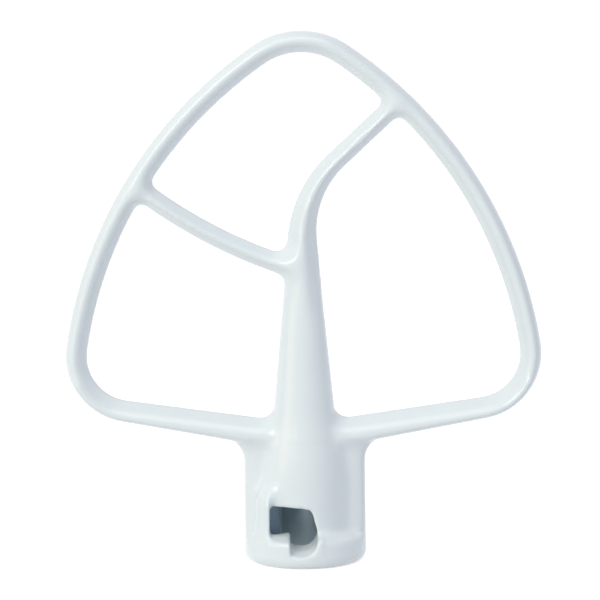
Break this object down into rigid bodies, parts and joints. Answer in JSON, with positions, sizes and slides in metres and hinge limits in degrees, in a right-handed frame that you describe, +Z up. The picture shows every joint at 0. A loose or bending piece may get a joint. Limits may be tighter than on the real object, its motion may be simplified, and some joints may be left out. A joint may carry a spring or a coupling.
{
  "type": "stand mixer flat beater",
  "caption": "White coated cast flat beater for a stand mixer: leaf-shaped frame, two cross bars, tapered stem and a hub with a bayonet window.",
  "frame": {"origin": "centre of the hub's flat end face, where the bore's mouth is; the part stands on this face", "axes": "+Z up along the drive bore and the stem towards the top of the frame, +X to the right in the picture, the bayonet window faces -Y"},
  "size_m": [0.1294, 0.0332, 0.145],
  "materials": {
    "coated_casting": "semi-gloss white nylon coat on cast aluminium"
  },
  "bodies": {
    "root": {"flat_beater": "coated_casting"}
  },
  "joints": []
}
